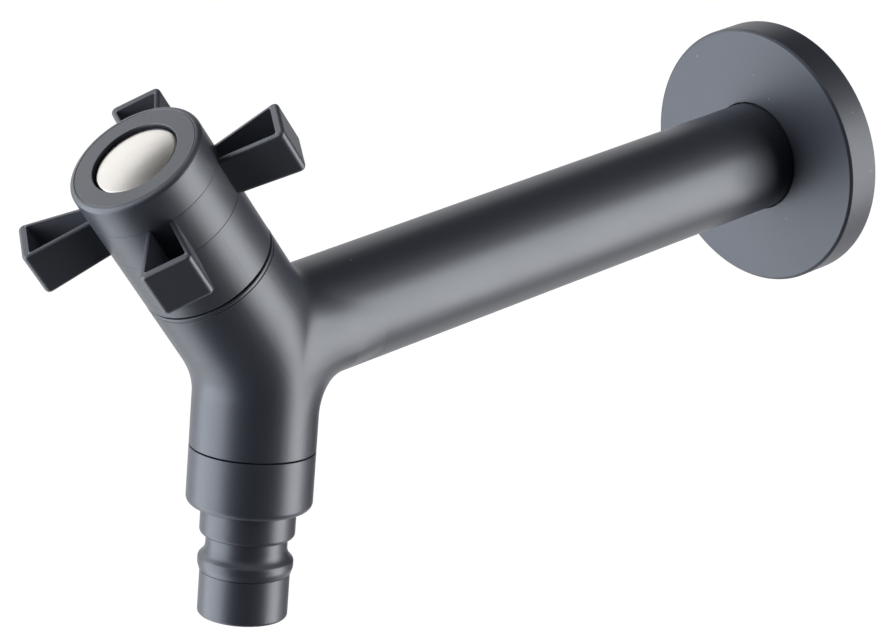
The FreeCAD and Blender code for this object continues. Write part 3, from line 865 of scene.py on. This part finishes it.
lower_seam = 37.5
screw_hole = 2.3
insert_radius = 7.55
insert_top = 45.4
skirt_spigot = 12.45
skirt_spigot_end = 34.6
cap_spigot = 12.05
cap_spigot_end = 49.3
screw_room = 10.55
screw_seat = 46.9
hub = bmesh.new()
spin_profile(hub, [
    (screw_hole, insert_top),
    (insert_radius, insert_top),
    (insert_radius, skirt_spigot_end),
    (skirt_spigot, skirt_spigot_end),
    (skirt_spigot, lower_seam),
    (hub_radius, lower_seam),
    (hub_radius, upper_seam),
    (cap_spigot, upper_seam),
    (cap_spigot, cap_spigot_end),
    (screw_room, cap_spigot_end),
    (screw_room, screw_seat),
    (screw_hole, screw_seat),
])
soften_rings(hub, [(hub_radius, seam, seam_round, 2) for seam in (lower_seam, upper_seam)])
join_shape(shape, hub)
cross = make_piece(
    shape, "cross_arms", handle_axis, charcoal_handle, "handle", "handle_cross"
)
# The pockets' coat is a paler copy of the handle's, painted light for the light bounced inside
# them.
cross.data.materials.append(charcoal_pocket_painted_light)

# %% [markdown]
# The thread at the wall
#
# A real pipe thread climbs. The model has plain rings in its place, because a ring is
# quicker to check, so the thread is made here: one tooth of the profile is spun and lifted
# by one pitch for each turn, which lands its end on its own start. Two cuts then square
# the ends, the first turn is tapered so that it can start in a socket, and the open ends
# are drawn in to the bore.

# %% Sweep the thread
pitch = 1.814
crest_radius = 10.4775
root_radius = crest_radius - 1.16
thread_back = -15.0
thread_front = 1.0
thread_merge = 0.002
turn_steps = 96
crest_share = 0.175
root_share = 0.05
lead_length = 1.6
lead_radius = root_radius - 0.15
turns = int((thread_front - thread_back) / pitch) + 3
low_end = thread_back - 2 * pitch

shape = bmesh.new()
tooth = [
    (root_radius, 0.0),
    (root_radius, root_share),
    (crest_radius, 0.5 - crest_share),
    (crest_radius, 0.5 + crest_share),
    (root_radius, 1 - root_share),
    (root_radius, 1.0),
]
points = [shape.verts.new((radius, 0, low_end + share * pitch)) for radius, share in tooth]
sides = [shape.edges.new(pair) for pair in zip(points, points[1:])]
bmesh.ops.spin(
    shape, geom=points + sides, cent=(0, 0, 0), axis=(0, 0, 1),
    dvec=(0, 0, pitch / turn_steps), angle=2 * math.pi * turns, steps=turn_steps * turns,
)
bmesh.ops.remove_doubles(shape, verts=shape.verts, dist=thread_merge)
cut_flat(shape, (0, 0, thread_back), (0, 0, -1))
cut_flat(shape, (0, 0, thread_front), (0, 0, 1))
for corner in shape.verts:
    above = corner.co.z - thread_back
    limit = lead_radius + above * (crest_radius - lead_radius) / lead_length
    if above < lead_length and corner.co.xy.length > limit:
        corner.co.xy *= limit / corner.co.xy.length
print("thread turns:", turns, "faces:", len(shape.faces))

# %% [markdown]
# The rest of the nipple is drawn from the two open ends: out to the shoulder against the
# tube's end, along the spigot inside the tube, and back through the bore.

# %% Draw the shoulder, the spigot and the bore
def end_loop(shape, height):
    return [
        edge for edge in shape.edges
        if edge.is_boundary and all(abs(corner.co.z - height) < near for corner in edge.verts)
    ]


def draw_out(shape, loop, radius, height):
    """Extrudes a loop of edges to another radius and height."""
    drawn = bmesh.ops.extrude_edge_only(shape, edges=loop)["geom"]
    for corner in drawn:
        if isinstance(corner, bmesh.types.BMVert):
            corner.co.xy *= radius / corner.co.xy.length
            corner.co.z = height
    return [edge for edge in drawn if isinstance(edge, bmesh.types.BMEdge) and edge.is_boundary]


tube_radius = 12.7
tube_start = 3.0
shoulder_chamfer = 0.25
spigot_radius = 9.45
spigot_end = 15.0
throat_radius = 8.0
bore_radius = 7.0
mouth_chamfer = 0.5
loop = end_loop(shape, thread_front)
for radius, height in (
    (tube_radius - shoulder_chamfer, thread_front),
    (tube_radius, thread_front + shoulder_chamfer),
    (tube_radius, tube_start),
    (spigot_radius, tube_start),
    (spigot_radius, spigot_end),
    (throat_radius, spigot_end),
    (throat_radius, thread_front),
    (bore_radius, thread_front),
    (bore_radius, thread_back + mouth_chamfer),
):
    loop = draw_out(shape, loop, radius, height)
mouth_radius = bore_radius + mouth_chamfer
mouth = draw_out(shape, end_loop(shape, thread_back), mouth_radius, thread_back)
bmesh.ops.bridge_loops(shape, edges=loop + mouth)
bmesh.ops.recalc_face_normals(shape, faces=shape.faces)
make_piece(
    shape, "screwed_nipple", tube_axis, turned_stainless, "tap", "inlet_nipple"
)

# %% [markdown]
# The casting
#
# Tube, barrel and outlet are one casting, and the real one has no crease where the tube
# runs into the barrel: the sand mould leaves a soft hollow there. A bevel can't follow that,
# because the hollow is wide at the sides and narrow on top. So the casting is made as a
# sculptor would: rough rods are merged into one even skin of small faces, and each corner
# of that skin is then laid on a surface that is described by distances. The distance to a
# bent pipe is easy to work out, and two pipes are joined as if a ball had been rolled along
# the hollow between them: the more their surfaces turn away from each other, the more it
# fills.

# %% Describe the two bent pipes by distance
def unit(angle):
    """A direction in the tap's middle plane, turned up from the forward direction."""
    return Vector((0, -math.cos(math.radians(angle)), math.sin(math.radians(angle))))


def ease(share):
    """A share from 0 to 1 that starts and ends without a jump in its slope."""
    return share * share * (3 - 2 * share)


class BentPipe:
    """A round pipe that follows one line, an arc and a second line, all in the middle plane."""

    def __init__(self, corner, first, second, bend, first_radius, second_radius):
        half = first.angle(second) / 2
        leg = bend / math.tan(half)
        self.first = first
        self.second = second
        self.bend = bend
        self.start = corner + first * leg
        self.end = corner + second * leg
        self.centre = corner + (first + second).normalized() * (bend / math.sin(half))
        self.sweep = math.pi - 2 * half
        self.first_radius = first_radius
        self.second_radius = second_radius

    def outside(self, point):
        """How far the point is outside the pipe, and the direction straight out of it."""
        if (point - self.start).dot(self.first) > 0:
            foot = self.start + self.first * (point - self.start).dot(self.first)
            radius = self.first_radius
        elif (point - self.end).dot(self.second) > 0:
            foot = self.end + self.second * (point - self.end).dot(self.second)
            radius = self.second_radius
        else:
            level = Vector((0, point.y - self.centre.y, point.z - self.centre.z)).normalized()
            foot = self.centre + level * self.bend
            share = level.angle(self.start - self.centre) / self.sweep
            share = ease(min(1.0, max(0.0, share)))
            radius = self.first_radius + (self.second_radius - self.first_radius) * share
        away = point - foot
        return away.length - radius, away.normalized()


outlet_radius = 13.5
barrel_radius = 14.85
throat_bend = 15.5 + (barrel_radius + outlet_radius) / 2
heel_bend = 6.2 + (outlet_radius + tube_radius) / 2
outlet_point = Vector((0, -reach, 0))
outlet_down = unit(outlet_tilt - 90)
handle_up = unit(90 - handle_tilt)
to_wall = Vector((0, 1, 0))
between_axes = math.radians(handle_tilt + outlet_tilt)
crossing_up = -handle_forward * math.cos(math.radians(outlet_tilt)) / math.sin(between_axes)
crossing = Vector(handle_point) + handle_up * crossing_up
throat = BentPipe(crossing, outlet_down, handle_up, throat_bend, outlet_radius, barrel_radius)
heel = BentPipe(outlet_point, outlet_down, to_wall, heel_bend, outlet_radius, tube_radius)
print("throat bend:", round(throat_bend, 2), "heel bend:", round(heel_bend, 2))

# %% [markdown]
# The ball is large at the sides, where tube and barrel are nearly as wide as each other and
# the hollow is broad, and small on top, where the picture shows a crisp corner. Below the
# tube there is none, because the heel's own bend already joins the two.

# %% Roll a ball along the hollow
side_ball = 30.0
top_ball = 5.0
no_ball = 0.01
ball_steps = ((-14.0, no_ball), (-5.0, side_ball), (1.0, side_ball), (12.0, top_ball))
slope_step = 0.02


def ball_radius(height):
    """The ball's radius, eased from one height of the list to the next."""
    for (low, first), (high, second) in zip(ball_steps, ball_steps[1:]):
        if height < high:
            share = max(0.0, (height - low) / (high - low))
            return first + (second - first) * ease(share)
    return top_ball


def roll_ball(first, second, ball):
    """Joins two surfaces, each given by a gap and the direction out of it."""
    (first_gap, first_out), (second_gap, second_out) = first, second
    fill = ball * (1 - first_out.dot(second_out))
    apart = second_gap - first_gap
    if abs(apart) >= fill:
        return first if apart > 0 else second
    share = 0.5 + apart / (2 * fill)
    out = first_out * share + second_out * (1 - share)
    gap = min(first_gap, second_gap) - (fill - abs(apart)) ** 2 / (4 * fill)
    return gap, out.normalized()


def casting(point):
    """How far a point is outside the blended casting."""
    ball = ball_radius(point.z)
    away = point - Vector((0, max(point.y, -reach), 0))
    straight = (away.length - tube_radius, away.normalized())
    back = roll_ball(straight, heel.outside(point), ball)
    return roll_ball(back, throat.outside(point), ball)[0]


def slope(point):
    """The direction in which the distance grows, which is the surface's normal."""
    here = casting(point)
    steps = Matrix.Identity(3) * slope_step
    return Vector([casting(point + step) - here for step in steps]).normalized()


print("filled at the side:", round(-casting(Vector((13.2, -158.5, -4))), 2), "mm")

# %% [markdown]
# Three rods that cross are enough for the rough shape. A voxel remesh merges them into one
# skin of even quads, which a plain join or a boolean wouldn't give. The rods are a few
# millimetres too long, so that the ends can be cut off flat afterwards.

# %% Rough out the casting with three rods
def add_rod(shape, axis, radius, low, high):
    rod = bmesh.new()
    spin_profile(rod, [(0, low), (radius, low), (radius, high), (0, high)], steps=64)
    bmesh.ops.transform(rod, verts=rod.verts, matrix=axis)
    join_shape(shape, rod)


def through_modifier(mesh, kind, **settings):
    """The mesh as one modifier leaves it."""
    holder = show("workpiece", mesh)
    modifier = holder.modifiers.new(kind.lower(), kind)
    for key, value in settings.items():
        setattr(modifier, key, value)
    ready = holder.evaluated_get(bpy.context.evaluated_depsgraph_get())
    result = bpy.data.meshes.new_from_object(ready)
    bpy.data.objects.remove(holder)
    bpy.data.meshes.remove(mesh)
    return result


spare = 3.0
overlap = 6.0
tube_cut = 137.0
outlet_cut = 23.4
barrel_cut = 21.24
voxel = 0.62
rough = bmesh.new()
add_rod(rough, handle_axis, barrel_radius, -overlap, barrel_cut + spare)
add_rod(rough, outlet_axis, outlet_radius, -overlap, outlet_cut + spare)
add_rod(rough, tube_axis, tube_radius, tube_cut - spare, reach)
rough_mesh = mesh_from(rough, "rough")
skin_mesh = through_modifier(rough_mesh, "REMESH", mode="VOXEL", voxel_size=voxel)
shape = bmesh.new()
shape.from_mesh(skin_mesh)
bpy.data.meshes.remove(skin_mesh)
print("corners of the even skin:", len(shape.verts))

# %% [markdown]
# Each corner goes to the surface along the steepest way. A little smoothing in between
# spreads the corners evenly again, and the last pass lays them down exactly. The spare ends
# are left out, because a flat end isn't on the surface.

# %% Lay the skin on the casting's surface and cut the ends
lay_rounds = 4
smooth_rounds = 2
cuts = [
    (Vector(handle_point), handle_up, barrel_cut),
    (outlet_point, outlet_down, outlet_cut),
    (Vector((0, 0, 0)), to_wall, -tube_cut),
]


def beyond_ends(point):
    """How far the point is past the nearest of the three cuts."""
    return max((point - origin).dot(direction) - height for origin, direction, height in cuts)


kept = [corner for corner in shape.verts if beyond_ends(corner.co) < spare - 2 * voxel]
for lay_round in range(lay_rounds):
    for corner in kept:
        corner.co -= slope(corner.co) * casting(corner.co)
    if lay_round < smooth_rounds:
        bmesh.ops.smooth_vert(
            shape, verts=kept, factor=0.5, use_axis_x=True, use_axis_y=True, use_axis_z=True,
        )
print("furthest from the surface:", round(max(abs(casting(corner.co)) for corner in kept), 4))
for origin, direction, height in cuts:
    cut_flat(shape, origin + direction * height, direction, snap=merge_distance)
print("faces of the cut skin:", len(shape.faces))

# %% [markdown]
# Two joints are fine black lines in the picture. Under the handle the barrel ends in a
# narrow lip with a groove below it. Above the nozzle's collar the casting stops a third of
# a millimetre short, so that the collar doesn't bind on the paint. Both are drawn from the
# cut ends, ring by ring, and so are the tube, the valve chamber and the bores.

# %% Draw the lip, the tube and the bores
def draw_end(shape, axis, height, rings, soft=()):
    """Draws an open end through (radius, height) rings along an axis, and closes the last."""
    bmesh.ops.transform(shape, verts=shape.verts, matrix=axis.inverted())
    loop = end_loop(shape, height)
    for radius, place in rings:
        loop = draw_out(shape, loop, radius, place)
    bmesh.ops.edgeloop_fill(shape, edges=loop)
    soften_rings(shape, soft)
    bmesh.ops.transform(shape, verts=shape.verts, matrix=axis)


lip_radius = 14.82
lip_bottom = 21.44
lip_top = 22.28
lip_round = 0.3
lip_edge_round = 0.08
groove_radius = 14.45
barrel_edge = 0.07
barrel_end = barrel_cut + barrel_edge
mouth_bore = 12.5
mouth_floor = 20.0
seal_step = 12.0
seal_floor = 18.8
thread_bore = 10.53
barrel_thread_end = 9.5
chamber_radius = 11.2
chamber_floor = -5.0
seat_radius = 8.6
seat_top = -3.0
draw_end(shape, handle_axis, barrel_cut, [
    (barrel_radius - barrel_edge, barrel_end),
    (groove_radius, barrel_end),
    (groove_radius, lip_bottom),
    (lip_radius, lip_bottom),
    (lip_radius, lip_top),
    (mouth_bore, lip_top),
    (mouth_bore, mouth_floor),
    (seal_step, mouth_floor),
    (seal_step, seal_floor),
    (thread_bore, seal_floor),
    (thread_bore, barrel_thread_end),
    (chamber_radius, barrel_thread_end),
    (chamber_radius, chamber_floor),
    (seat_radius, chamber_floor),
    (seat_radius, seat_top),
], [(lip_radius, lip_top, lip_round, 5), (lip_radius, lip_bottom, lip_edge_round, 2)])

outlet_edge = 0.08
outlet_end = outlet_cut + outlet_edge
outlet_thread_end = 15.5
outlet_bore = 8.0
outlet_bore_end = 14.0
draw_end(shape, outlet_axis, outlet_cut, [
    (outlet_radius - outlet_edge, outlet_end),
    (thread_bore, outlet_end),
    (thread_bore, outlet_thread_end),
    (outlet_bore, outlet_thread_end),
    (outlet_bore, outlet_bore_end),
])

tube_bore = 9.5
tube_bore_end = 143.5
draw_end(shape, tube_axis, tube_cut, [
    (tube_radius, tube_start),
    (tube_bore, tube_start),
    (tube_bore, tube_bore_end),
])
bmesh.ops.recalc_face_normals(shape, faces=shape.faces)
print("open edges:", sum(not edge.is_manifold for edge in shape.edges))
make_piece(
    shape, "tap_casting", Matrix.Identity(4), charcoal_body, "tap", "tap_body"
)

# %% [markdown]
# The nozzle
#
# The collar has the outlet's own radius, and below it the nozzle steps in twice, swells to
# a round bead that holds the hose, and ends in a short straight barrel. A fine nick under
# the bead draws the dark line that the picture shows there. It is one profile again. The
# screwed spigot inside the outlet is plain rings, as it never shows.

# %% Spin the hose nozzle
nozzle_bore = 6.5
spigot_start = 17.0
collar_start = 23.8
collar_end = 36.45
step_radius = 10.2
step_end = 43.0
neck_radius = 8.74
neck_end = 46.5
bead_radius = 10.22
bead_start = neck_end + bead_radius - neck_radius
bead_low = 49.55
bead_end = 51.0
nick_depth = 0.18
nick_width = 0.22
hose_radius = 9.65
nozzle_end = 60.8
ring_count = 3
collar_edge_round = 0.12
collar_round = 1.6
step_inner_round = 0.25
step_round = 1.0
neck_round = 1.1
bead_start_round = 0.33
bead_round = 0.35
nozzle_round = 0.8
bore_round = 0.4

profile = [(nozzle_bore, spigot_start), (root_radius, spigot_start)]
for index in range(ring_count):
    for radius, share in (
        (root_radius, 0.5),
        (crest_radius, 0.82),
        (crest_radius, 1.18),
        (root_radius, 1.49),
    ):
        profile.append((radius, spigot_start + (index + share) * pitch))
profile += [
    (root_radius, collar_start),
    (outlet_radius, collar_start),
    (outlet_radius, collar_end),
    (step_radius, collar_end),
    (step_radius, step_end),
    (neck_radius, step_end),
    (neck_radius, neck_end),
    (bead_radius, bead_start),
    (bead_radius, bead_low),
    (hose_radius + nick_depth, bead_end - nick_width),
    (hose_radius - nick_depth, bead_end - nick_width),
    (hose_radius - nick_depth, bead_end),
    (hose_radius, bead_end),
    (hose_radius, nozzle_end),
    (nozzle_bore, nozzle_end),
]
shape = bmesh.new()
spin_profile(shape, profile)
soften_rings(shape, [
    (outlet_radius, collar_start, collar_edge_round, 3),
    (outlet_radius, collar_end, collar_round, 8),
    (step_radius, collar_end, step_inner_round, 3),
    (step_radius, step_end, step_round, 6),
    (neck_radius, neck_end, neck_round, 6),
    (bead_radius, bead_start, bead_start_round, 5),
    (bead_radius, bead_low, bead_round, 5),
    (hose_radius, nozzle_end, nozzle_round, 6),
    (nozzle_bore, nozzle_end, bore_round, 3),
])
make_piece(
    shape, "hose_nozzle", outlet_axis, charcoal_nozzle, "tap", "outlet_nozzle"
)

# %% [markdown]
# Dressing the model
#
# Each node of the model takes the finish of what it is made of. Its mesh isn't touched.

# %% Give each node its finish
finishes = {
    charcoal_body: ["tap_body"],
    charcoal_cover: ["wall_flange"],
    charcoal_nozzle: ["outlet_nozzle"],
    charcoal_handle: ["handle_skirt", "handle_cross", "handle_cap"],
    turned_stainless: ["inlet_nipple"],
    brushed_disc: ["index_badge"],
    bright_spring: ["spindle_clip", "lock_washer", "handle_screw"],
    lathe_brass: ["headwork_body", "spindle", "spline_insert"],
    polished_ceramic: ["fixed_disc", "moving_disc"],
    moulded_nylon: ["seal_support", "friction_washer"],
    seal_rubber: ["flange_ring", "nozzle_gasket", "headwork_ring", "seat_seal", "spindle_rings"],
}
dressed = 0
for finish, names in finishes.items():
    for name in names:
        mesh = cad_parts[name].data
        mesh.materials.clear()
        mesh.materials.append(finish)
        dressed += 1
print("dressed nodes:", dressed, "of", len(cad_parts))
